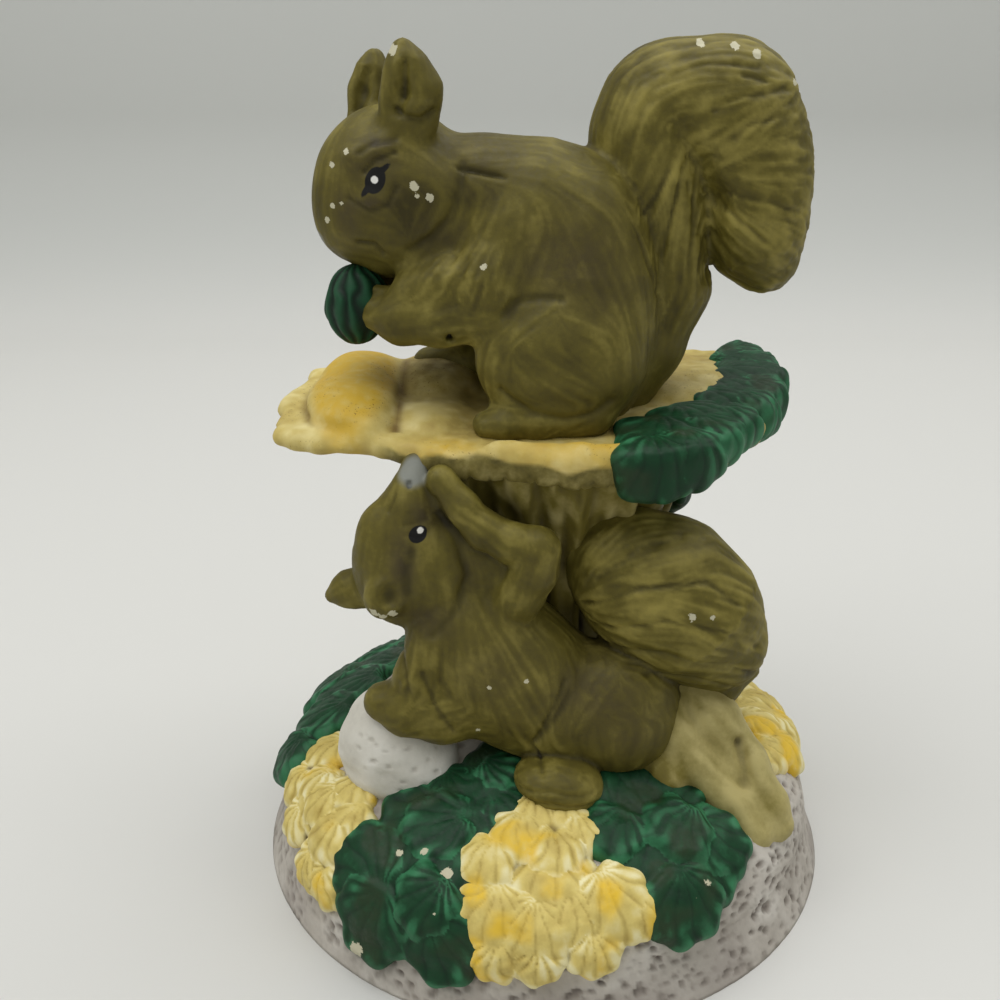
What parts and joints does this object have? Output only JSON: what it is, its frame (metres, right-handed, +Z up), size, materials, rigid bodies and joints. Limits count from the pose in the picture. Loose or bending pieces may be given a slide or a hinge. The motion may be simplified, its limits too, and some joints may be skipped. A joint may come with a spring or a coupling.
{
  "type": "squirrel figurine",
  "caption": "Matte painted ceramic figurine of squirrels on a tree stump: one sits on the broad ledge eating a nut and one climbs below, over a leafy mound base.",
  "frame": {"origin": "middle of the foot ring's underside, on the surface that the figurine stands on", "axes": "+Z up, -Y towards the front that the picture shows, +X to the right seen from the front"},
  "size_m": [0.114, 0.114, 0.1534],
  "materials": {
    "base_stone": "matte",
    "ledge_cream": "matte",
    "bark_olive": "matte",
    "stone_pale": "matte",
    "nut_green": "matte",
    "leaf_green": "matte",
    "leaf_yellow": "matte",
    "fur_olive": "matte"
  },
  "bodies": {
    "root": {"base_mound": "base_stone", "base_floor": "base_stone", "ledge_slab": "ledge_cream", "ledge_knob": "ledge_cream", "ledge_hump": "ledge_cream", "stump_trunk": "bark_olive", "stump_root_right": "bark_olive", "stump_root_front": "bark_olive", "stump_root_back_left": "bark_olive", "stump_root_back_right": "bark_olive", "white_stone": "stone_pale", "nut": "nut_green", "green_leaves_front_left": "leaf_green", "green_leaves_front_right": "leaf_green", "green_leaves_back_left": "leaf_green", "green_leaves_back": "leaf_green", "ledge_leaves_front": "leaf_green", "ledge_leaves_end": "leaf_green", "ledge_leaf_hanging": "leaf_green", "yellow_leaves_left": "leaf_yellow", "yellow_leaves_front": "leaf_yellow", "yellow_leaves_right": "leaf_yellow", "yellow_leaves_back": "leaf_yellow", "upper_head": "fur_olive", "upper_body": "fur_olive", "upper_ear_near": "fur_olive", "upper_ear_far": "fur_olive", "upper_haunch_near": "fur_olive", "upper_haunch_far": "fur_olive", "upper_foot_near": "fur_olive", "upper_foot_far": "fur_olive", "upper_arm_near": "fur_olive", "upper_arm_far": "fur_olive", "upper_forearm_near": "fur_olive", "upper_forearm_far": "fur_olive", "upper_tail": "fur_olive", "lower_head": "fur_olive", "lower_body": "fur_olive", "lower_ear_near": "fur_olive", "lower_ear_far": "fur_olive", "lower_arm": "fur_olive", "lower_forearm": "fur_olive", "lower_foreleg": "fur_olive", "lower_haunch": "fur_olive", "lower_foot": "fur_olive", "lower_tail": "fur_olive"}
  },
  "joints": []
}
